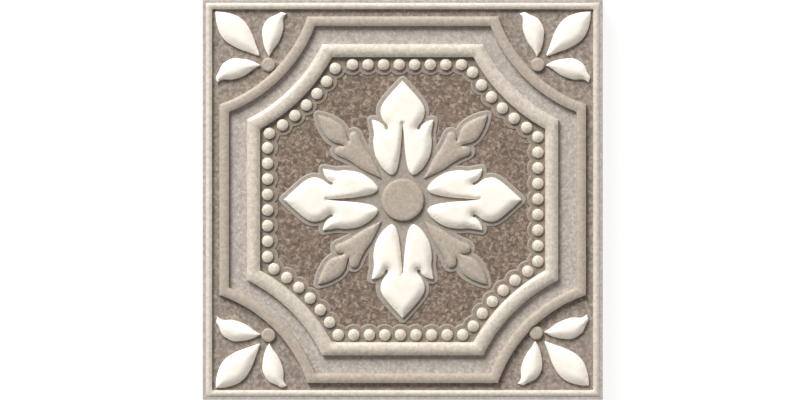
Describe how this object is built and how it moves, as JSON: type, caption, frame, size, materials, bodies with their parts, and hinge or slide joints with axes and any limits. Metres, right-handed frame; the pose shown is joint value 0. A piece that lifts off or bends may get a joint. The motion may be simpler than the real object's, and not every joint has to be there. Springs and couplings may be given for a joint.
{
  "type": "insert tile",
  "caption": "Square glazed ceramic insert tile with a raised rosette inside a bead row and an octagonal moulding, and leaves in its corners.",
  "frame": {"origin": "centre of the flat back", "axes": "+Z out of the glazed face; +X and +Y along the tile's sides"},
  "size_m": [0.15, 0.15, 0.0105],
  "materials": {
    "glaze": "satin to gloss glaze: cream on the mouldings, beads and petals, taupe on the leaves and outer moulding, mottled brown in the fields"
  },
  "bodies": {
    "root": {"tile": "glaze"}
  },
  "joints": []
}
